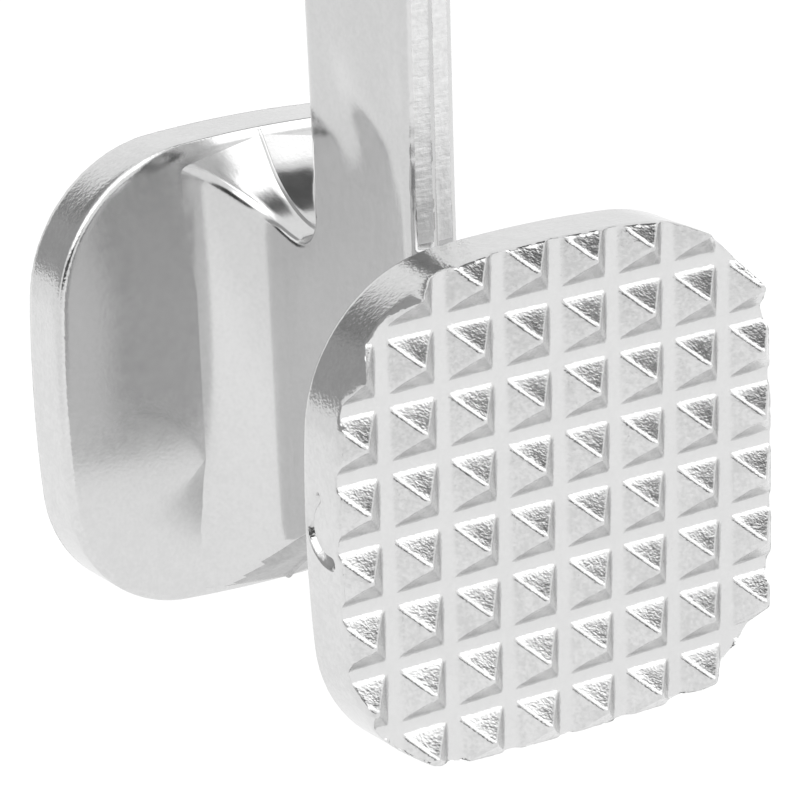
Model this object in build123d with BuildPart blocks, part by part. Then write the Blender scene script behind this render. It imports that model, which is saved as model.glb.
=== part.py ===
import os
from build123d import *

# Two-sided cast mallet, standing on the lower edges of its head with the handle up.
# X runs along the head, +X towards the coarse face. Z runs up the handle.
# The origin is on the ground under the middle of the head. Lengths are in millimetres.

# Head
head_side = 54.0            # width and height of each square face
head_corner = 18.0          # corner radius of that square
floor_span = 64.6           # from the coarse tooth floor to the fine tooth floor
plate_depth = 8.0           # from a tooth floor to the web
pad_rise = 1.0              # each plate is this much thicker in its middle than at its rim
rim_round = 1.0             # rounding of each plate's inner rim
rim_margin = 1.2            # from the rim's edge to the start of the rise

# Teeth
coarse_pitch = 7.0
coarse_count = 8
coarse_base = 5.2
coarse_height = 2.4
fine_pitch = 4.7
fine_count = 11
fine_base = 3.6
fine_height = 1.5
tooth_taper = 43.0          # slope of every tooth flank from the face's normal

# Web between the plates
web_thickness = 6.2
web_flare = 4.8             # fillet radius from the web into each plate
web_draft = 5.0
draft_margin = 2.0          # how far the drafted side view runs past the web before it is trimmed
notch_radius = 11.2
notch_offset = 12.6         # from the handle's centreline to each upper notch's centre
notch_level = 55.6          # height of those centres
notch_heel = 2.6            # small radius where a notch meets the handle
arch_radius = 34.5
arch_level = -23.0          # height of the lower arch's centre

# Handle
shank_width = 20.0
shank_thickness = 6.2
shank_round = 1.0
grip_start = 112.0
grip_start_width = 22.2
grip_middle = 162.0
grip_middle_width = 25.0
grip_middle_thickness = 9.0
grip_end = 212.0
grip_round = 2.4
eye_radius = 13.0
hole_radius = 4.5
total_height = 240.0

head_middle = head_side / 2
floor_reach = floor_span / 2
web_reach = floor_reach - plate_depth
pad_half = head_middle - head_corner
hole_level = total_height - eye_radius
eye_width = 2 * eye_radius


def tooth_field(pitch, count, base, height):
    """Blunt square pyramids on the +X tooth floor, trimmed to the head's outline."""
    floor_plane = Plane.YZ.offset(floor_reach)
    with BuildPart() as field:
        with BuildSketch(floor_plane):
            with Locations((0, head_middle)):
                with GridLocations(pitch, pitch, count, count):
                    Rectangle(base, base)
        extrude(amount=height, taper=tooth_taper)
        with BuildSketch(floor_plane):
            with Locations((0, head_middle)):
                RectangleRounded(head_side, head_side, head_corner)
        extrude(amount=height, mode=Mode.INTERSECT)
    return field.part


def inner_pad():
    """The low rise on the +X plate's inner side: level in the middle, falling to its side edges."""
    pad_side = head_side - 2 * rim_margin
    with BuildPart() as pad:
        with BuildSketch(Plane.YZ.offset(web_reach)):
            with Locations((0, head_middle)):
                RectangleRounded(pad_side, pad_side, head_corner - rim_margin)
        extrude(amount=pad_rise)
        with BuildSketch(Plane.XY):
            with BuildLine():
                Polyline(
                    (web_reach, pad_half),
                    (web_reach + pad_rise, pad_side / 2),
                    (web_reach, head_middle),
                    close=True,
                )
            make_face()
            mirror(about=Plane.XZ)
        extrude(amount=head_side, mode=Mode.SUBTRACT)
    return pad.part


def face_plate(teeth):
    """The +X plate with its rounded inner rim, its inner rise and its teeth."""
    with BuildPart() as plate:
        with BuildSketch(Plane.YZ.offset(web_reach + pad_rise)):
            with Locations((0, head_middle)):
                RectangleRounded(head_side, head_side, head_corner)
        extrude(amount=plate_depth - pad_rise)
        fillet(plate.faces().sort_by(Axis.X)[0].edges(), radius=rim_round)
        add(inner_pad())
        add(teeth)
    return plate.part


with BuildPart() as coarse_face_plate:
    add(face_plate(tooth_field(coarse_pitch, coarse_count, coarse_base, coarse_height)))
coarse_face_plate.part.label = "coarse_face_plate"

with BuildPart() as fine_face_plate:
    add(face_plate(tooth_field(fine_pitch, fine_count, fine_base, fine_height)))
    mirror(about=Plane.YZ, mode=Mode.REPLACE)
fine_face_plate.part.label = "fine_face_plate"

# The web is the shape that its side view and its plan have in common.
with BuildPart() as head_web:
    with BuildSketch(Plane.XZ) as side_view:
        with Locations((0, head_middle)):
            Rectangle(2 * web_reach + 2 * draft_margin, head_side + 2 * draft_margin)
        with Locations((-notch_offset, notch_level), (notch_offset, notch_level)):
            Circle(notch_radius, mode=Mode.SUBTRACT)
        with Locations((0, head_middle)):
            Rectangle(shank_width, head_middle + draft_margin, align=(Align.CENTER, Align.MIN))
        heels = side_view.vertices().group_by(Axis.Y)[1]
        fillet(heels, radius=notch_heel)
        with Locations((0, arch_level)):
            Circle(arch_radius, mode=Mode.SUBTRACT)
    extrude(amount=web_thickness / 2 + web_flare, both=True, taper=web_draft)
    with BuildSketch(Plane.XY):
        Rectangle(2 * web_reach, web_thickness + 2 * web_flare)
        pocket_depth = 3 * web_flare
        pocket_middle = (web_thickness + pocket_depth) / 2
        with Locations((0, -pocket_middle), (0, pocket_middle)):
            RectangleRounded(2 * web_reach, pocket_depth, web_flare, mode=Mode.SUBTRACT)
    extrude(amount=head_side, mode=Mode.INTERSECT)
head_web.part.label = "head_web"

with BuildPart() as handle_shank:
    with BuildSketch(Plane.XY.offset(head_side)):
        RectangleRounded(shank_width, shank_thickness, shank_round)
    with BuildSketch(Plane.XY.offset(grip_start)):
        RectangleRounded(grip_start_width, shank_thickness, shank_round)
    loft(ruled=True)
handle_shank.part.label = "handle_shank"

with BuildPart() as handle_grip:
    with BuildSketch(Plane.XY.offset(grip_start)):
        RectangleRounded(grip_start_width, shank_thickness, shank_round)
    with BuildSketch(Plane.XY.offset(grip_middle)):
        RectangleRounded(grip_middle_width, grip_middle_thickness, grip_round)
    with BuildSketch(Plane.XY.offset(grip_end)):
        RectangleRounded(eye_width, shank_thickness, shank_round)
    loft()
handle_grip.part.label = "handle_grip"

with BuildPart() as hanging_eye:
    with BuildSketch(Plane.XZ):
        with Locations((0, grip_end)):
            Rectangle(eye_width, hole_level - grip_end, align=(Align.CENTER, Align.MIN))
        with Locations((0, hole_level)):
            Circle(eye_radius)
    extrude(amount=shank_thickness / 2, both=True)
    broad_faces = hanging_eye.faces().filter_by(Axis.Y)
    fillet(broad_faces.edges().filter_by_position(Axis.Z, grip_end, total_height, (False, True)), shank_round)
    with Locations(Plane.XZ.offset(-shank_thickness / 2)):
        with Locations((0, hole_level)):
            Hole(radius=hole_radius, depth=2 * shank_thickness)
hanging_eye.part.label = "hanging_eye"

os.makedirs("parts", exist_ok=True)
zones = (coarse_face_plate, fine_face_plate, head_web, handle_shank, handle_grip, hanging_eye)
for zone in zones:
    export_step(zone.part, f"parts/{zone.part.label}.step")
    print(zone.part.label, round(zone.part.volume), "mm3")
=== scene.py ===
import math

import bmesh
import bpy
import numpy as np
from mathutils import Matrix, Vector, noise


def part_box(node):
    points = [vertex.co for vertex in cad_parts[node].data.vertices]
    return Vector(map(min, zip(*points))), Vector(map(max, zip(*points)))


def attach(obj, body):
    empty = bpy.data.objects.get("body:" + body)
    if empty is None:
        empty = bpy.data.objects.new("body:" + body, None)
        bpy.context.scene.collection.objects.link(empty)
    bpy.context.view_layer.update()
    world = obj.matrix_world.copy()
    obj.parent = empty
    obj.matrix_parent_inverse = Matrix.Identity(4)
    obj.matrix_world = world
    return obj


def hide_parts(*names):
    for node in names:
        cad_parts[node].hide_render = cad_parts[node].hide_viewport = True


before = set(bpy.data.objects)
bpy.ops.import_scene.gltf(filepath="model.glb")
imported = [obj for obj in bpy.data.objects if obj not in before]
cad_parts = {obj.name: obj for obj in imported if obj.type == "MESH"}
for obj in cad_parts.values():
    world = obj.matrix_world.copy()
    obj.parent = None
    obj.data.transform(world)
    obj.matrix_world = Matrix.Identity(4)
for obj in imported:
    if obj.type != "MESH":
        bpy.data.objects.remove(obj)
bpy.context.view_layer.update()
mm = 0.001
print("frame loaded")


class Link:
    # one shader output; Python operators on it add Math nodes
    def __init__(self, nodes, output):
        self.nodes = nodes
        self.output = output

    def maths(self, operation, *values):
        return self.nodes.add("ShaderNodeMath", {"operation": operation}, dict(enumerate(values)))

    def __add__(self, other):
        return self.maths("ADD", self, other)

    def __radd__(self, other):
        return self.maths("ADD", other, self)

    def __sub__(self, other):
        return self.maths("SUBTRACT", self, other)

    def __rsub__(self, other):
        return self.maths("SUBTRACT", other, self)

    def __mul__(self, other):
        return self.maths("MULTIPLY", self, other)

    def __rmul__(self, other):
        return self.maths("MULTIPLY", other, self)

    def root(self):
        return self.maths("SQRT", self)

    def larger(self, other):
        return self.maths("MAXIMUM", self, other)

    def between(self, low, high):
        # 0 below low, 1 above high, smooth in between
        return self.nodes.add(
            "ShaderNodeMapRange",
            {"interpolation_type": "SMOOTHSTEP"},
            {"Value": self, "From Min": low, "From Max": high},
        )


class Nodes:
    # a node tree, and the one way to add a node to it
    def __init__(self, tree):
        self.tree = tree

    def plug(self, socket, value):
        if isinstance(value, Link):
            self.tree.links.new(value.output, socket)
        else:
            socket.default_value = value

    def add(self, kind, settings=None, values=None, out=0):
        made = self.tree.nodes.new(kind)
        for name, value in (settings or {}).items():
            setattr(made, name, value)
        for name, value in (values or {}).items():
            self.plug(made.inputs[name], value)
        return Link(self, made.outputs[out])

    def blend(self, mask, first, second):
        # colours only: Mix's own sockets for them are 6 and 7, and their result is output 2
        sockets = {0: mask, 6: first, 7: second}
        return self.add("ShaderNodeMix", {"data_type": "RGBA"}, sockets, out=2)

    def place(self):
        return self.add("ShaderNodeTexCoord", out="Object")

    def noise(self, place, scale, detail=2.0):
        sockets = {"Vector": place, "Scale": scale, "Detail": detail}
        return self.add("ShaderNodeTexNoise", None, sockets)


def newMaterial(name):
    made = bpy.data.materials.new(name)
    made.use_nodes = True
    return made, Nodes(made.node_tree), made.node_tree.nodes["Principled BSDF"].inputs


def grey(value):
    return (value, value, value, 1)


viewpoint = {
    "location": (0.35847, -0.22474, 0.16946),
    "right": (0.5428245, 0.83905977, -0.0363354),
    "up": (-0.24692899, 0.20080224, 0.94800028),
    "back": (0.80272513, -0.50562551, 0.31618856),
    "lens": 184.96,
}


def makeCamera():
    data = bpy.data.cameras.new("camera")
    data.lens = viewpoint["lens"]
    data.sensor_width = 36
    data.clip_start = 0.01
    data.clip_end = 50
    camera = bpy.data.objects.new("camera", data)
    turn = Matrix((viewpoint["right"], viewpoint["up"], viewpoint["back"])).transposed()
    camera.matrix_world = Matrix.Translation(viewpoint["location"]) @ turn.to_4x4()
    bpy.context.scene.collection.objects.link(camera)
    bpy.context.scene.camera = camera


makeCamera()
bpy.context.scene.view_settings.view_transform = "Standard"
print("camera placed")

studio = {
    "room": 1.0,            # brightness of the room, of the soft boxes and of the dark screens
    "box": 1.9,
    "leftDark": 0.40,
    "deepDark": 0.22,
    "lowDark": 0.05,
    "flagDark": 0.11,
    "left": ((-0.75, -0.62, 0.3), 40, 50),      # direction, full within and gone past (degrees)
    "leftGap": ((-0.933, 0.318, 0.159), 34.5, 37),
    "leftFoot": (-0.13, -0.06),
    "deep": ((-0.84, -0.24, 0.49), 3, 14),
    "low": ((0.66, -0.66, 0.07), 20, 28),
    "lowFoot": (-0.06, 0.0),
    "lowTop": (0.30, 0.38),
    "flag": ((0.0, 0.60, 0.80), 17, 23),
    "overhead": ((0.45, 0.18, 0.87), 22, 26),
    "front": ((0.5, -0.62, 0.66), 20, 26),
    "right": ((0.68, 0.58, 0.45), 15, 19),
    "lampSize": 1.5,
    "lampPower": 4,
    "lampPlace": (0.5, -0.3, 2.0),
    "lampTurn": (0.15, 0.24, 0),
}
floorLook = {
    "size": 6.0,
    "glow": 1.0,
    "paper": 0.03,
    "roughness": 0.9,
    "shadeCentre": (-0.004, 0.010),
    "shadeReach": (0.006, 0.018),
    "shade": 0.45,          # how much the floor's glow is dimmed under the head, a painted shadow
    "farReach": (0.07, 0.15),
    "farShade": 0.13,       # and a painted shade away on the left
}


def towards(nodes, sight, direction, inner, outer):
    # 1 within inner degrees of a direction, 0 past outer degrees
    aim = Vector(direction).normalized()
    dot = {"operation": "DOT_PRODUCT"}
    along = nodes.add("ShaderNodeVectorMath", dot, {0: sight, 1: aim}, out="Value")
    return along.between(math.cos(math.radians(outer)), math.cos(math.radians(inner)))


def makeRoom():
    world = bpy.data.worlds.new("studio")
    world.use_nodes = True
    bpy.context.scene.world = world
    nodes = Nodes(world.node_tree)
    sight = nodes.add("ShaderNodeTexCoord", out="Generated")
    height = nodes.add("ShaderNodeSeparateXYZ", None, {0: sight}, out="Z")
    screen = height.between(*studio["leftFoot"]) * towards(nodes, sight, *studio["left"])
    screen = screen * (1 - towards(nodes, sight, *studio["leftGap"]))
    deep = screen * towards(nodes, sight, *studio["deep"])
    low = height.between(*studio["lowFoot"]) * (1 - height.between(*studio["lowTop"]))
    low = low * towards(nodes, sight, *studio["low"])
    flag = towards(nodes, sight, *studio["flag"])
    boxes = (towards(nodes, sight, *studio[name]) for name in ("overhead", "front", "right"))
    overhead, front, right = boxes
    level = studio["room"] + overhead.larger(front).larger(right) * (studio["box"] - studio["room"])
    darks = ((screen, "leftDark"), (deep, "deepDark"), (low, "lowDark"), (flag, "flagDark"))
    for mask, dark in darks:
        level = level * (1 - mask) + mask * studio[dark]
    background = world.node_tree.nodes["Background"].inputs
    background["Color"].default_value = grey(1.0)
    nodes.plug(background["Strength"], level)

    lamp = bpy.data.lights.new("softLight", "AREA")
    lamp.size = studio["lampSize"]
    lamp.energy = studio["lampPower"]
    above = bpy.data.objects.new("softLight", lamp)
    above.location = studio["lampPlace"]
    above.rotation_euler = studio["lampTurn"]
    bpy.context.scene.collection.objects.link(above)


def makeFloor():
    sheet = bpy.data.meshes.new("floor")
    half = floorLook["size"] / 2
    corners = [(-half, -half, 0), (half, -half, 0), (half, half, 0), (-half, half, 0)]
    sheet.from_pydata(corners, [], [(0, 1, 2, 3)])
    floor = bpy.data.objects.new("floor", sheet)
    bpy.context.scene.collection.objects.link(floor)
    paper, nodes, shader = newMaterial("whitePaper")
    shader["Base Color"].default_value = grey(floorLook["paper"])
    shader["Roughness"].default_value = floorLook["roughness"]
    place = nodes.place()
    across = nodes.add("ShaderNodeSeparateXYZ", None, {0: place}, out="X")
    along = nodes.add("ShaderNodeSeparateXYZ", None, {0: place}, out="Y")
    offX, offY = across - floorLook["shadeCentre"][0], along - floorLook["shadeCentre"][1]
    gap = (offX * offX + offY * offY).root()
    # painted shadow: the floor's glow is dimmed under the head
    bright = 1 - (1 - gap.between(*floorLook["shadeReach"])) * floorLook["shade"]
    # painted shade: the floor's glow falls off away on the left
    bright = bright * (1 - (0 - along).between(*floorLook["farReach"]) * floorLook["farShade"])
    nodes.plug(shader["Emission Color"], nodes.blend(bright, grey(0.0), grey(1.0)))
    shader["Emission Strength"].default_value = floorLook["glow"]
    sheet.materials.append(paper)


makeRoom()
makeFloor()
print("studio lit")


sharpEdge = 38              # degrees; edges sharper than this stay crisp
sharpTooth = 60


def makePiece(cadNode, points, faces, materials, zones=None, sharp=sharpEdge):
    # points in millimetres; zones gives each face its material number
    name = cadNode + "_cast"
    data = bpy.data.meshes.new(name)
    data.from_pydata((np.asarray(points, float) * mm).tolist(), [], faces)
    for material in materials:
        data.materials.append(material)
    if zones is not None:
        data.polygons.foreach_set("material_index", np.asarray(zones, np.int32))
    data.validate()
    data.polygons.foreach_set("use_smooth", np.ones(len(data.polygons), bool))
    data.set_sharp_from_angle(angle=math.radians(sharp))
    data.update()
    piece = bpy.data.objects.new(name, data)
    bpy.context.scene.collection.objects.link(piece)
    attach(piece, "root")
    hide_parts(cadNode)
    return piece


def joinPatches(piece, join=0.002, sharp=sharpEdge):
    # joins points closer than this many millimetres, closes open ends and turns every face outwards
    work = bmesh.new()
    work.from_mesh(piece.data)
    bmesh.ops.remove_doubles(work, verts=work.verts, dist=join * mm)
    bmesh.ops.holes_fill(work, edges=[edge for edge in work.edges if edge.is_boundary], sides=0)
    bmesh.ops.recalc_face_normals(work, faces=work.faces)
    work.to_mesh(piece.data)
    work.free()
    piece.data.polygons.foreach_set("use_smooth", np.ones(len(piece.data.polygons), bool))
    piece.data.set_sharp_from_angle(angle=math.radians(sharp))


def roll(seed, *place):
    # smooth repeatable unevenness, about -1 to 1
    return noise.noise(Vector(place) + Vector((seed * 17.3, seed * 5.1, -seed * 9.7)))


allFinishes = {
    "cloudScale": 90.0,
    "patchScale": 700.0,
    "speckScale": 2200.0,
    "roughVary": 0.10,
    "scratchLie": (0.15, 0.15, 1.0),
}
smoothFinish = {
    "shade": 0.665,         # grey of the metal, and how far it varies
    "mottle": 0.02,
    "roughness": 0.15,
    "waviness": 0.00006,    # heights in metres
    "wavinessScale": 55.0,
    "grain": 0.000004,
    "grainScale": 2600.0,
}
toothFinish = {
    "valleyLight": 0.715,        # painted light: the tooth floors are painted brighter than the flanks
    "shade": 0.655,
    "mottle": 0.06,
    "roughness": 0.20,
    "grain": 0.000036,
    "grainScale": 3400.0,
    "pits": 0.00004,
    "pitScale": 1100.0,
}
rimFinish = {
    "shade": 0.68,
    "mottle": 0.03,
    "roughness": 0.16,
    "grain": 0.00003,
    "grainScale": 2600.0,
}
groundFinish = {
    "shade": 0.76,
    "mottle": 0.05,
    "roughness": 0.48,
    "grain": 0.00005,
    "grainScale": 2200.0,
    "scratch": 0.00012,     # short marks across the handle's narrow sides
    "scratchScale": 1500.0,
}
underShadeFinish = {
    "shade": 0.46,          # painted shade: the underside is painted darker for the shade beneath the head
    "mottle": 0.05,
    "roughness": 0.32,
    "grain": 0.00002,
    "grainScale": 2600.0,
}


def brightCasting(name, finish):
    made, nodes, shader = newMaterial(name)
    shader["Metallic"].default_value = 1.0
    place = nodes.place()
    cloud = nodes.noise(place, allFinishes["cloudScale"], 3.0)
    patch = nodes.noise(place, allFinishes["patchScale"])
    speck = nodes.noise(place, allFinishes["speckScale"])
    mask = (cloud * 0.3 + patch * 0.3 + speck * 0.4).between(0.35, 0.65)
    shade, mottle = finish["shade"], finish["mottle"]
    colour = nodes.blend(mask, grey(shade - mottle), grey(shade + mottle))
    if "valleyLight" in finish:
        # painted light: the tooth floors are painted brighter
        valleyLight = nodes.add("ShaderNodeAttribute", {"attribute_name": "valleyLight"}, out="Fac")
        colour = nodes.blend(valleyLight, colour, grey(finish["valleyLight"]))
    nodes.plug(shader["Base Color"], colour)
    nodes.plug(shader["Roughness"], finish["roughness"] + (patch - 0.5) * allFinishes["roughVary"])
    height = nodes.noise(place, finish["grainScale"]) * finish["grain"]
    if "waviness" in finish:
        height = height + nodes.noise(place, finish["wavinessScale"], 1.0) * finish["waviness"]
    if "pits" in finish:
        height = height + nodes.noise(place, finish["pitScale"], 3.0) * finish["pits"]
    if "scratch" in finish:
        lie = {0: place, 1: allFinishes["scratchLie"]}
        stretched = nodes.add("ShaderNodeVectorMath", {"operation": "MULTIPLY"}, lie)
        height = height + nodes.noise(stretched, finish["scratchScale"]) * finish["scratch"]
    bump = nodes.add("ShaderNodeBump", None, {"Height": height, "Strength": 1.0, "Distance": 1.0})
    nodes.plug(shader["Normal"], bump)
    return made


smoothSkin = brightCasting("smoothCasting", smoothFinish)
toothSkin = brightCasting("toothedCasting", toothFinish)
rimSkin = brightCasting("rimCasting", rimFinish)
groundSkin = brightCasting("groundCasting", groundFinish)
underShadeSkin = brightCasting("underShadeCasting", underShadeFinish)
print("finishes made")

plateLow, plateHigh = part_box("coarse_face_plate")
head = {
    "half": (plateHigh.z - plateLow.z) / 2 / mm,
    "middle": (plateHigh.z + plateLow.z) / 2 / mm,
    "floor": 32.3,          # from the middle of the head to a tooth floor
    "topCorner": 17.3,
    "lowCorner": 15.2,
    "sideSweep": 4.0,       # each side bows out through twice this many degrees
    "rimDepth": 7.0,        # from the tooth floor to the inner face at its side edges
    "rise": 1.0,            # the inner face stands this much further in at its middle
    "riseHalf": 9.8,
    "riseSoft": 0.06,
    "innerRound": 0.8,
    "topRound": 0.2,        # beside the notches
    "topRoundSpan": (10.0, 16.0),
    "topDrop": 0.4,
    "edgeBreak": 0.10,
    "rimTop": 0.75,
    "burr": 0.06,
    "innerRings": 30,
}
rimCut = {                  # the crescent in the coarse plate's rim, and folds by its lower corner
    "depth": 2.0,           # its centre, from the tooth floor and from the head's middle
    "level": 1.4,
    "radius": 3.5,
    "width": 0.50,
    "deep": 0.85,
    "lip": 0.10,
    "lipOff": 0.75,
    "lipWidth": 0.25,
    "start": (-64.0, 14.0),
    "end": (104.0, 12.0),
    "fold": 0.07,
    "foldAt": -9.0,
    "foldBelow": -20.0,
}
coarseFace = {
    "name": "coarse_face_plate",
    "side": 1,
    "pitch": 7.0,
    "shift": 0.0,
    "slide": 0.19,          # the grid stands this far off centre
    "drop": 0.45,           # valleys below the edge of the rim
    "half": 2.78,           # of a tooth's foot and of its tip
    "tip": 0.20,
    "height": 2.85,
    "cell": 0.235,          # of the mesh
    "sag": 0.075,           # the flanks are slightly hollow
    "ridge": 0.20,
    "foot": 0.16,
    "uneven": 0.03,
    "rimRings": 34,
    "border": 0.0,
    "slim": 0.0,
    "marks": rimCut,
}
fineFace = {
    "name": "fine_face_plate",
    "side": -1,
    "pitch": 4.7,
    "shift": 0.5,
    "slide": 0.0,
    "drop": 0.0,
    "half": 1.8,
    "tip": 0.22,
    "height": 1.48,
    "cell": 0.235,
    "sag": 0.03,
    "ridge": 0.14,
    "foot": 0.2,
    "uneven": 0.025,
    "rimRings": 7,
    "border": 1.3,          # teeth die away towards the edge
    "slim": 1.1,            # one side is this much shallower
    "marks": None,
}


def outline(y, z):
    # signed gap from the head's outline, and the outward direction, for points about its middle
    sweep = math.radians(head["sideSweep"])
    corner, half = np.where(z > 0, head["topCorner"], head["lowCorner"]), head["half"]
    c, s = math.cos(sweep), math.sin(sweep)
    sideRadius = (half - corner * (c - s)) / (1 - c + s)
    cornerMiddle = (sideRadius - corner) * s
    ay, az = np.abs(y), np.abs(z)
    swap = az > ay
    p, q = np.where(swap, az, ay), np.where(swap, ay, az)
    inCorner = (q > cornerMiddle) & (q - cornerMiddle > (p - cornerMiddle) * math.tan(sweep))
    dp = np.where(inCorner, p - cornerMiddle, p + sideRadius - half)
    dq = np.where(inCorner, q - cornerMiddle, q)
    length = np.hypot(dp, dq)
    gap = length - np.where(inCorner, corner, sideRadius)
    outY = np.where(swap, dq, dp) / length * np.sign(y)
    outZ = np.where(swap, dp, dq) / length * np.sign(z)
    return gap, outY, outZ


def toothHeight(face, y, z):
    pitch = face["pitch"]
    u = np.abs(((y + face["slide"]) / pitch + face["shift"]) % 1.0 - 0.5) * pitch
    v = np.abs((z / pitch + face["shift"]) % 1.0 - 0.5) * pitch
    reach = (u + v + np.sqrt((u - v) ** 2 + face["ridge"] ** 2)) / 2
    slope = face["height"] / (face["half"] - face["tip"])
    flank = (face["half"] - reach) * slope
    share = np.clip((face["half"] - reach) / (face["half"] - face["tip"]), 0.0, 1.0)
    flank = flank - face["sag"] * 4 * share * (1 - share)
    over = flank - face["height"]
    flank = face["height"] + (over - np.sqrt(over ** 2 + face["ridge"] ** 2)) / 2
    return (flank + np.sqrt(flank ** 2 + face["foot"] ** 2)) / 2


def innerDepth(y, z):
    # how far below the tooth floor the dished inner face lies
    span = head["half"] - head["innerRound"] - head["riseHalf"]
    ramp = (-outline(y, z)[0] - head["innerRound"]) / span
    capped = (ramp + 1 - np.sqrt((ramp - 1) ** 2 + head["riseSoft"] ** 2)) / 2
    return head["rimDepth"] + head["rise"] * capped


def toothedFace(face):
    # the toothed surface as a fine grid, cut to the outline: points, faces and the rim's order
    cell = face["cell"]
    reach = int(math.ceil(head["half"] / cell)) + 1
    line = np.arange(-reach, reach + 1) * cell
    y, z = (grid.ravel() for grid in np.meshgrid(line, line, indexing="ij"))
    height = toothHeight(face, y, z)
    seed = face["pitch"]
    rolling = np.array([roll(seed, a * 0.35, b * 0.35, 0.0) for a, b in zip(y, z)])
    height = height + face["uneven"] * rolling
    gap = outline(y, z)[0] + head["edgeBreak"]
    if face["border"]:
        height = height * np.clip(-gap / face["border"] - 0.4, 0.0, 1.0)
    height = height - face["drop"]
    size = len(line)
    number = np.arange(size * size).reshape(size, size)
    a, b = number[:-1, :-1].ravel(), number[1:, :-1].ravel()
    c, d = number[1:, 1:].ravel(), number[:-1, 1:].ravel()
    middleY, middleZ = (y[a] + y[c]) / 2, (z[a] + z[c]) / 2
    u = ((middleY + face["slide"]) / face["pitch"] + face["shift"]) % 1.0 - 0.5
    v = (middleZ / face["pitch"] + face["shift"]) % 1.0 - 0.5
    rising = u * v > 0
    triangles = np.concatenate([
        np.stack([a, b, c], 1)[rising], np.stack([a, c, d], 1)[rising],
        np.stack([a, b, d], 1)[~rising], np.stack([b, c, d], 1)[~rising],
    ])
    inside = gap < 0
    kept = inside[triangles].sum(1)
    faces = [tuple(t) for t in triangles[kept == 3].tolist()]
    points = np.stack([height, y, z], 1).tolist()
    cuts = {}

    def cut(i, j):
        key = (min(i, j), max(i, j))
        if key not in cuts:
            share = gap[i] / (gap[i] - gap[j])
            cuts[key] = len(points)
            points.append([(1 - share) * p + share * q for p, q in zip(points[i], points[j])])
        return cuts[key]

    for corners in triangles[(kept > 0) & (kept < 3)].tolist():
        shape = []
        for i, j in zip(corners, corners[1:] + corners[:1]):
            if inside[i]:
                shape.append(i)
            if inside[i] != inside[j]:
                shape.append(cut(i, j))
        faces.append(tuple(shape))
    used = sorted({i for shape in faces for i in shape})
    renumber = {old: new for new, old in enumerate(used)}
    points = np.array([points[i] for i in used])
    faces = [tuple(renumber[i] for i in shape) for shape in faces]
    rim = np.array([renumber[i] for i in cuts.values()])
    rim = rim[np.argsort(np.arctan2(points[rim, 2], points[rim, 1]))]
    return points, faces, rim


def rimDent(marks, y, z, depth):
    # how far the rim is dented at a depth below the tooth floor
    across, up = depth - marks["depth"], z - marks["level"]
    off = np.hypot(across, up) - marks["radius"]
    turn = np.degrees(np.arctan2(-up, across))
    (start, startFade), (end, endFade) = marks["start"], marks["end"]
    arc = np.clip((turn - start) / startFade, 0, 1) * np.clip((end - turn) / endFade, 0, 1)
    arc = arc * (y < 0)
    groove = marks["deep"] * np.exp(-(off / marks["width"]) ** 2)
    lip = np.exp(-((np.abs(off) - marks["lipOff"]) / marks["lipWidth"]) ** 2)
    groove = groove - marks["lip"] * lip
    near = np.clip((2.0 - np.abs(y - marks["foldAt"])) / 3 + 0.6, 0, 1) * (z < marks["foldBelow"])
    return arc * groove + marks["fold"] * np.sin(depth * 5.6 + y * 0.5) * near


def rimRings(face, points, rim):
    # the rings of points down the rim, round its inner edge and over the inner face
    ringX, ringY, ringZ = points[rim].T
    gap, outY, outZ = outline(ringY, ringZ)
    ringY, ringZ = ringY - outY * gap, ringZ - outZ * gap      # exactly on the outline
    seed = 3 + face["pitch"]
    burr = np.array([roll(seed, a * 1.1, b * 1.1, 0) for a, b in zip(ringY, ringZ)])
    points[rim, 0] += head["burr"] + 0.10 * burr
    rings = [np.stack([ringX - 0.16 + head["burr"] * burr, ringY, ringZ], 1)]
    near, far = head["topRoundSpan"]
    top = np.clip((far - np.abs(ringY)) / (far - near), 0.0, 1.0) * (ringZ > 0)
    innerRound = head["innerRound"] - (head["innerRound"] - head["topRound"]) * top
    sideDepth = head["rimDepth"] - innerRound - head["topDrop"] * top
    for share in np.linspace(0, 1, face["rimRings"]):
        depth = head["rimTop"] + (sideDepth - head["rimTop"]) * share
        inward = rimDent(face["marks"], ringY, ringZ, depth) if face["marks"] else 0.0
        rings.append(np.stack([-depth, ringY - outY * inward, ringZ - outZ * inward], 1))
    for turn in np.radians((18, 36, 54, 72, 90)):
        back, down = innerRound * (1 - math.cos(turn)), innerRound * math.sin(turn)
        rings.append(np.stack([-(sideDepth + down), ringY - outY * back, ringZ - outZ * back], 1))
    edge = rings[-1]
    for share in np.linspace(0.98, 0.03, head["innerRings"]):
        y, z = edge[:, 1] * share, edge[:, 2] * share
        rings.append(np.stack([-innerDepth(y, z), y, z], 1))
    return rings


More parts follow.
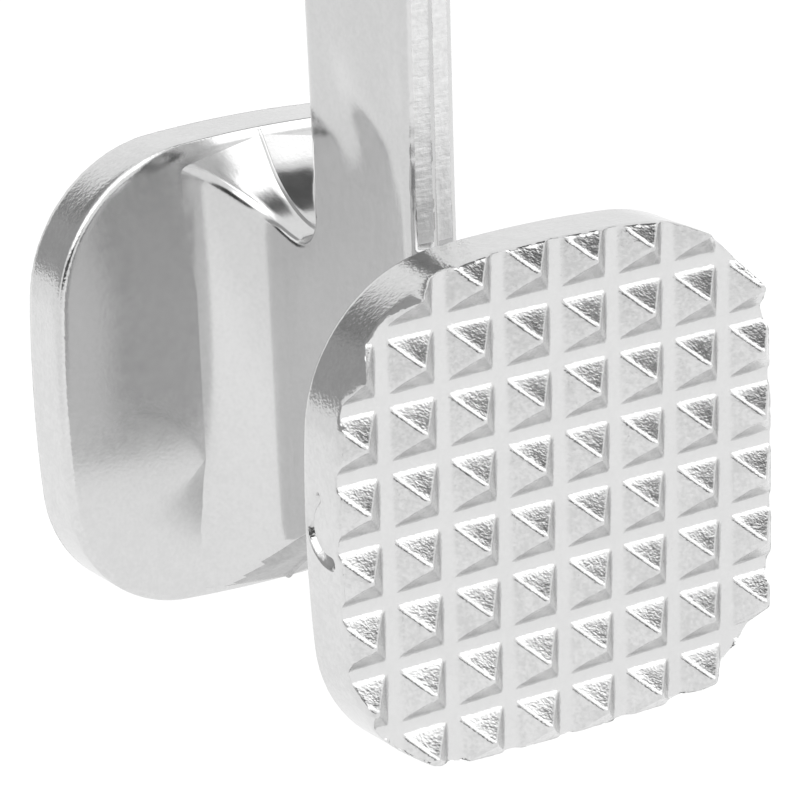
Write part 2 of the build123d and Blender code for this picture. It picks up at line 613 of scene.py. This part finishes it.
def facePlate(face):
    points, faces, rim = toothedFace(face)
    zones = [0] * len(faces)
    rings = rimRings(face, points, rim)
    numbers = [rim]
    for ring in rings:
        numbers.append(np.arange(len(rim)) + len(points))
        points = np.concatenate([points, ring])
    for level, (upper, lower) in enumerate(zip(numbers, numbers[1:])):
        zone = 1 if level < face["rimRings"] + 6 else 2
        for i in range(len(rim)):
            j = (i + 1) % len(rim)
            faces.append((upper[j], upper[i], lower[i], lower[j]))
            zones.append(zone)
    faces.append(tuple(numbers[-1][::-1]))
    zones.append(2)
    rise = points[:, 0] + face["drop"]
    valleyLight = 0.75 * np.clip(1.4 - rise / 0.25, 0.0, 1.0)      # painted light along the tooth floors, 0 on the flanks
    points[:, 1] -= face["slim"] * (np.maximum(points[:, 1], 0.0) / head["half"]) ** 2
    points[:, 0] = face["side"] * (points[:, 0] + head["floor"])
    points[:, 2] += head["middle"]
    faces = [tuple(int(i) for i in shape) for shape in faces]
    if face["side"] < 0:
        faces = [shape[::-1] for shape in faces]
    skins = (toothSkin, rimSkin, smoothSkin)
    piece = makePiece(face["name"], points, faces, skins, zones, sharpTooth)
    piece.data.attributes.new("valleyLight", "FLOAT", "POINT").data.foreach_set("value", valleyLight)
    joinPatches(piece, 0.004, sharpTooth)


facePlate(coarseFace)
facePlate(fineFace)
print("face plates cast")

body = {
    "thickness": 3.07,      # half of it
    "draft": 5.0,
    "edge": 0.9,
    "flashHeight": 0.3,     # the ridge along the parting line
    "flashHalf": 0.25,
    "flare": 8.6,           # reach of the fillets into the plates
    "flareSpread": 1.3,
    "sunk": 0.48,           # the fillets end this far inside the plates
    "archFoot": 0.6,
    "notchFoot": 44.68,
    "notchArcs": ((3.0, 8.0), (14.0, 45.0), (12.0, 56.0)),     # radius, and heading at its end
    "crown": 0.002,
    "tuck": 0.3,            # the ends stay this far inside the plates' outline
    "tuckFrom": 23.0,
    "tuckRun": 1.5,
    "notchRun": 3.95,
    "notchLip": 0.6,
    "archRadius": 33.4,
    "archLevel": -23.0,
    "archEdge": (1.0, 2.7),     # bevel at the plates and in the middle
    "archEdgeSpan": (12.0, 23.0),
    "archInset": 1.2,
    "handleHalf": 10.3,
    "handleFoot": 54.0,
    "rows": 22,
    "neckRows": 14,
}


def capHeight(x, z):
    # half thickness of the web at a place on its side view, with its fillets into the dished plates
    flare, spread = body["flare"], body["flare"] * body["flareSpread"]
    level = np.array(min(max(z - head["middle"], 1 - head["half"]), head["half"] - 1))
    depth = float(innerDepth(np.array(body["thickness"] + spread), level))
    plate = head["floor"] - depth + body["sunk"]
    past = min(max(abs(x) - plate + flare, 0.0), flare)
    return body["thickness"] + spread * (1 - math.sqrt(1 - (past / flare) ** 2))


def archBevel(x):
    (low, high), (near, far) = body["archEdge"], body["archEdgeSpan"]
    return low + (high - low) * min(max((far - abs(x)) / (far - near), 0.0), 1.0)


def edgeProfile(x, z, inX, inZ, cap=capHeight, edge=None):
    # (inset, y) pairs from the parting line to the broad face
    slope = math.tan(math.radians(body["draft"]))
    flash = body["flashHeight"]
    low, high = 0.0, 4.0
    for _ in range(24):
        corner = (low + high) / 2
        if (corner - flash) / slope < cap(x + inX * corner, z + inZ * corner):
            low = corner
        else:
            high = corner
    top = cap(x + inX * corner, z + inZ * corner)
    edge = edge or body["edge"]
    start = (corner - edge * slope, top - edge)
    end = (corner + edge, cap(x + inX * (corner + edge), z + inZ * (corner + edge)))
    ridge = body["flashHalf"]
    pairs = [(0.0, 0.0), (flash * 0.4, ridge * 0.5), (flash * 0.95, ridge)]
    foot = (flash + ridge * slope, ridge * 1.2)
    for share in (0.1, 0.25, 0.4, 0.55, 0.7, 0.85, 1.0):
        pairs.append(tuple(a + (b - a) * share for a, b in zip(foot, start)))
    for share in (0.2, 0.4, 0.6, 0.8, 1.0):
        a, b, c = (1 - share) ** 2, 2 * share * (1 - share), share ** 2
        pairs.append(tuple(a * p + b * q + c * r for p, q, r in zip(start, (corner, top), end)))
    return pairs


class Patches:
    # grids of points that are joined afterwards; each is mirrored across the parting plane
    def __init__(self):
        self.points = []
        self.faces = []

    def grid(self, rows):
        for side in (1, -1):
            start = len(self.points)
            width = len(rows[0])
            for row in rows:
                self.points.extend((x, side * y, z) for x, y, z in row)
            for i in range(len(rows) - 1):
                for j in range(width - 1):
                    a = start + i * width + j
                    quad = (a, a + 1, a + width + 1, a + width)
                    self.faces.append(quad if side > 0 else quad[::-1])

    def wall(self, stations, crown=0.0, edge=None):
        # stations: (x, z, inwardX, inwardZ) along the parting line, and the share of the inset used
        rows = []
        for x, z, inX, inZ, *ease in stations:
            pairs = edgeProfile(x, z, inX, inZ, edge=edge and edge(x))
            used = ease[0] if ease else 1.0
            inX, inZ = inX * used, inZ * used
            row = [(x + inX * inset, y, z + inZ * inset - crown * y * y) for inset, y in pairs]
            rows.append(row)
        self.grid(rows)
        return [row[-1] for row in rows]


handle = {
    "levels": (54.0, 112.0, 162.0, 212.0),
    "halfWidths": (10.3, 11.2, 12.45, 12.95),
    "thicknesses": (3.07, 3.07, 4.45, 3.07),
    "eyeRadius": 12.95,
    "eyeLevel": 227.0,
    "holeRadius": 4.5,
    "holeRound": 0.7,
    "hollow": -0.42,        # soft hollows of the broad faces just above the head
    "hollowLevel": 61.0,
    "hollowReach": 5.0,
    "hollowPitch": 13.0,
    "hollowShift": 5.5,
    "hollowHalf": 9.5,
    "groundStart": 4.0,     # above the notch's foot
    "groundTop": 2.3,
    "shankSteps": 116,
    "gripSteps": 40,
    "across": 24,
}


def handleSection(z):
    # half width and half thickness at a level; the grip swells smoothly in its middle
    levels, widths, thick = handle["levels"], handle["halfWidths"], handle["thicknesses"]
    if z <= levels[1]:
        share = (z - levels[0]) / (levels[1] - levels[0])
        return widths[0] + (widths[1] - widths[0]) * share, thick[0]
    share = (z - levels[1]) / (levels[3] - levels[1])
    swell = math.sin(math.pi * share) ** 2
    straight = widths[1] + (widths[3] - widths[1]) * share
    bow = widths[2] - (widths[1] + widths[3]) / 2
    return straight + bow * math.sin(math.pi * share), thick[1] + (thick[2] - thick[1]) * swell


def settled(points):
    # the broad faces' soft hollows above the head, and the uneven ground strips down the sides
    made = []
    for x, y, z in points:
        rise = (z - handle["hollowLevel"]) / handle["hollowReach"]
        swing = math.cos(2 * math.pi * (x + handle["hollowShift"]) / handle["hollowPitch"])
        swing = swing * handle["hollow"] * max(0.0, 1 - (x / handle["hollowHalf"]) ** 4)
        y = y * (1 + swing * rise * math.exp(-rise * rise) / body["thickness"])
        inset = handleSection(max(z, handle["levels"][0]))[0] - abs(x)
        above = z > body["notchFoot"] + handle["groundStart"] + 1
        if 0.28 < inset < 0.75 and 0.27 < abs(y) < 3.1 and above:
            x = x + 0.08 * roll(5, y * 1.5, z * 1.9, 3.0) + 0.02 * roll(6, y * 3, z * 5, 1.0)
        made.append((x, y, z))
    return made


def groundZones(points, faces):
    # 1 for the faces of the ground strips beside the parting ridge, else 0
    zones = []
    for shape in faces:
        x, y, z = (sum(points[i][k] for i in shape) / len(shape) for k in range(3))
        half = handleSection(max(z, handle["levels"][0]))[0]
        above = z > body["notchFoot"] + handle["groundStart"]
        ground = abs(x) > half - 0.8 and 0.27 < abs(y) < handle["groundTop"] and above
        zones.append(1 if ground else 0)
    return zones


def notchOutline():
    # stations from the handle's side, round the heel and up to the plate's rim
    x, z, heading = body["handleHalf"], body["notchFoot"] + body["notchArcs"][0][0], -90.0
    stations = [(x, z, -1.0, 0.0)]
    for radius, end in body["notchArcs"]:
        steps = max(4, round((end - heading) / 4))
        for k in range(steps):
            a, b = (math.radians(heading + (end - heading) * j / steps) for j in (k, k + 1))
            x = x + radius * (math.sin(b) - math.sin(a))
            z = z + radius * (math.cos(a) - math.cos(b))
            stations.append((x, z, math.sin(b), -math.cos(b)))
        heading = end
    turn = math.radians(heading)
    run, lip = body["notchRun"] / 4, body["notchLip"]
    for _ in range(4):
        x, z = x + run * math.cos(turn), z + run * math.sin(turn)
        stations.append((x, z, math.sin(turn), -math.cos(turn)))
    for k in range(8):
        a, b = (math.radians(heading * (1 - j / 8)) for j in (k, k + 1))
        x, z = x + lip * (math.sin(a) - math.sin(b)), z + lip * (math.cos(b) - math.cos(a))
        stations.append((x, z, math.sin(b), -math.cos(b), 1 - 0.9 * (k + 1) / 8))
    return stations


def tuckedIn(points):
    # the ends of the web stay inside the plates' outline
    points = np.array(points)
    ends = (np.abs(points[:, 0]) - body["tuckFrom"]) / body["tuckRun"]
    near = ends > 0
    gap, outY, outZ = outline(points[near, 1], points[near, 2] - head["middle"])
    over = np.maximum(gap + body["tuck"], 0.0) * np.minimum(ends[near], 1.0)
    points[near, 1] -= over * outY
    points[near, 2] -= over * outZ
    return points


def archStation(x):
    # where the arch's bevel ends under a place on the broad face, and its parting line station
    inset = body["archInset"]
    for _ in range(6):
        turn = math.asin(x / (body["archRadius"] + inset))
        inX, inZ = math.sin(turn), math.cos(turn)
        footX = body["archRadius"] * inX
        footZ = max(body["archLevel"] + body["archRadius"] * inZ, body["archFoot"])
        inset = edgeProfile(footX, footZ, inX, inZ, edge=archBevel(footX))[-1][0]
    return footZ + inset * inZ, (footX, footZ, inX, inZ)


def webZones(points, faces):
    zones = groundZones(points, faces)
    for i, shape in enumerate(faces):
        if abs(points[shape[0]][0]) >= body["handleHalf"] + 0.1:
            zones[i] = 0
        x, z = (sum(points[k][axis] for k in shape) / len(shape) for axis in (0, 2))
        # zone 2 is the arch's bevel, painted darker as painted shade under the head
        if math.hypot(x, z - body["archLevel"]) - body["archRadius"] < archBevel(x) + 0.1:
            zones[i] = 2
    return zones


def headWeb():
    patches = Patches()
    half, crown, neckRows = body["handleHalf"], body["crown"], body["neckRows"]
    stations = notchOutline()
    heelZ = stations[0][1]
    neckLevels = np.linspace(heelZ, body["handleFoot"], neckRows)
    sides = {}
    for side in (1, -1):
        mirrored = [(side * x, z, side * inX, inZ, *ease) for x, z, inX, inZ, *ease in stations]
        sides[side] = patches.wall(mirrored, crown)
        patches.wall([(side * half, z, -side, 0.0) for z in neckLevels])
    # the broad face in columns, from the lower arch to the notch or to the heel's level
    right = [(x, z + crown * y * y) for x, y, z in reversed(sides[1])]
    columns = right + [(x, heelZ) for x in np.linspace(right[-1][0], 0, neckRows)[1:]]
    columns = columns + [(-x, z) for x, z in reversed(columns[:-1])]
    rows = []
    feet = []
    for x, top in columns:
        foot, station = archStation(x)
        feet.append(station)
        row = []
        for k in range(body["rows"] + 1):
            z = foot + (top - foot) * k / body["rows"]
            cap = capHeight(x, z)
            row.append((x, cap, z - crown * cap * cap * (k / body["rows"])))
        rows.append(row)
    patches.wall(feet, edge=archBevel)
    patches.grid(rows)
    neck = [x for x, top in columns if abs(x) <= right[-1][0] + 1e-6]
    levels = [heelZ - crown * body["thickness"] ** 2] + list(neckLevels[1:])
    patches.grid([[(x, body["thickness"], z) for z in levels] for x in neck])
    points = tuckedIn(settled(patches.points))
    zones = webZones(points, patches.faces)
    skins = (smoothSkin, groundSkin, underShadeSkin)
    joinPatches(makePiece("head_web", points, patches.faces, skins, zones))


headWeb()
print("head web cast")


def handleLength(cadNode, low, high, steps, ground):
    patches = Patches()
    caps = []
    for side in (1, -1):
        rows = []
        for k in range(steps + 1):
            z = low + (high - low) * k / steps
            width, thick = handleSection(z)
            profile = edgeProfile(0.0, z, 0.0, 0.0, lambda x, z: thick)
            rows.append([(side * (width - inset), y, z) for inset, y in profile])
        patches.grid(rows)
        caps.append([row[-1] for row in rows])
    across = handle["across"]
    rows = []
    for (x, y, z), (farX, _, _) in zip(*caps):
        rows.append([(x + (farX - x) * k / across, y, z) for k in range(across + 1)])
    patches.grid(rows)
    points = settled(patches.points)
    zones = groundZones(points, patches.faces) if ground else None
    skins = (smoothSkin, groundSkin)
    joinPatches(makePiece(cadNode, points, patches.faces, skins, zones))


def hangingEye():
    patches = Patches()
    radius, level, foot = handle["eyeRadius"], handle["eyeLevel"], handle["levels"][3]
    thick, bore, holeRound = body["thickness"], handle["holeRadius"], handle["holeRound"]
    profile = edgeProfile(0.0, 0.0, 0.0, 0.0, lambda x, z: thick)
    inner = radius - profile[-1][0]
    hole = bore + holeRound
    turns = [math.pi * k / 48 for k in range(49)]
    wall = []
    out = [(radius - inset, y) for inset, y in profile]
    for turn in turns:
        c, s = math.cos(turn), math.sin(turn)
        wall.append([(r * c, y, level + r * s) for r, y in out])
    patches.grid(wall)
    for side in (1, -1):
        patches.grid([[(side * r, y, z) for r, y in out] for z in (foot, level)])
    # the broad face: columns above and below the hole, then the hole's own wall
    xs = [inner * math.cos(turn) for turn in turns]
    xs = sorted(set(xs + [hole * math.cos(math.pi * k / 24) for k in range(25)]))
    lower, upper = [], []
    for x in xs:
        dip = math.sqrt(max(hole ** 2 - x ** 2, 0.0))
        top = level + math.sqrt(max(inner ** 2 - x ** 2, 0.0))
        lower.append([(x, thick, foot + (level - dip - foot) * k / 5) for k in range(6)])
        upper.append([(x, thick, level + dip + (top - level - dip) * k / 5) for k in range(6)])
    patches.grid(lower)
    patches.grid(upper)
    around = [math.acos(max(-1.0, min(1.0, x / hole))) for x in xs if abs(x) <= hole + 1e-9]
    around = around + [-turn for turn in reversed(around)][1:]
    bends = [math.radians(90 - 18 * k) for k in range(6)]
    row = [(bore, 0.0)]
    for bend in bends:
        row.append((hole - holeRound * math.sin(bend), thick - holeRound * (1 - math.cos(bend))))
    patches.grid([[(r * math.cos(t), y, level + r * math.sin(t)) for r, y in row] for t in around])
    skins = (smoothSkin,)
    joinPatches(makePiece("hanging_eye", patches.points, patches.faces, skins))


handleFoot, shankTop, _, gripTop = handle["levels"]
handleLength("handle_shank", handleFoot, shankTop, handle["shankSteps"], True)
handleLength("handle_grip", shankTop, gripTop, handle["gripSteps"], False)
hangingEye()
print("handle cast")
